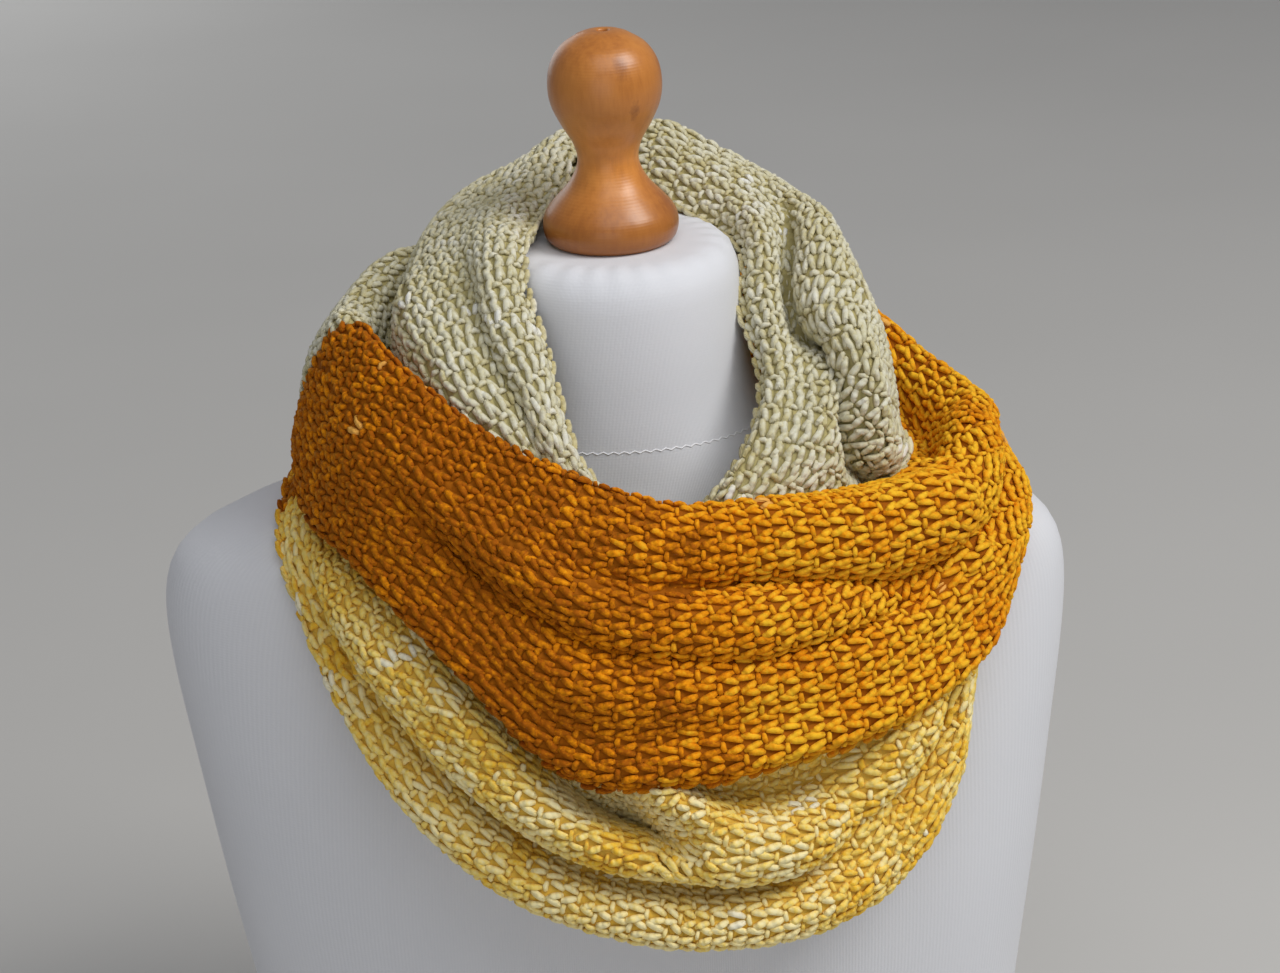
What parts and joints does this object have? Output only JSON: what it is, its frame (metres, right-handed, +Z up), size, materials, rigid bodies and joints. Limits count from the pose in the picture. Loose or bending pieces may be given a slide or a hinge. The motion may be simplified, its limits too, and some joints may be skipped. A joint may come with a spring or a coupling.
{
  "type": "infinity scarf on a limbless dress form",
  "caption": "Chunky knitted closed-loop scarf wound three times round the neck and shoulders of a white limbless dress form with a turned wooden neck knob.",
  "frame": {"origin": "middle of the form's flat bottom, under the neck's axis", "axes": "+Z up along the neck's axis; the chest faces -Y; +X is to the right of someone facing the chest"},
  "size_m": [0.405, 0.2869, 0.5633],
  "materials": {
    "mustard_wool": "chunky hand-knitted wool, mottled mustard orange",
    "yellow_wool": "chunky hand-knitted wool, pale yellow with near-white stitches",
    "cream_wool": "chunky hand-knitted wool, cream with faint yellow and pink",
    "white_jersey": "matt white stretch jersey cover",
    "turned_wood": "satin varnished turned wood"
  },
  "bodies": {
    "root": {"dress_form": "white_jersey", "neck_knob": "turned_wood", "scarf_mustard_front": "mustard_wool", "scarf_mustard_back": "mustard_wool", "scarf_yellow_front": "yellow_wool", "scarf_yellow_back": "yellow_wool", "scarf_cream_left": "cream_wool", "scarf_cream_right": "cream_wool", "scarf_cream_back": "cream_wool"}
  },
  "joints": []
}
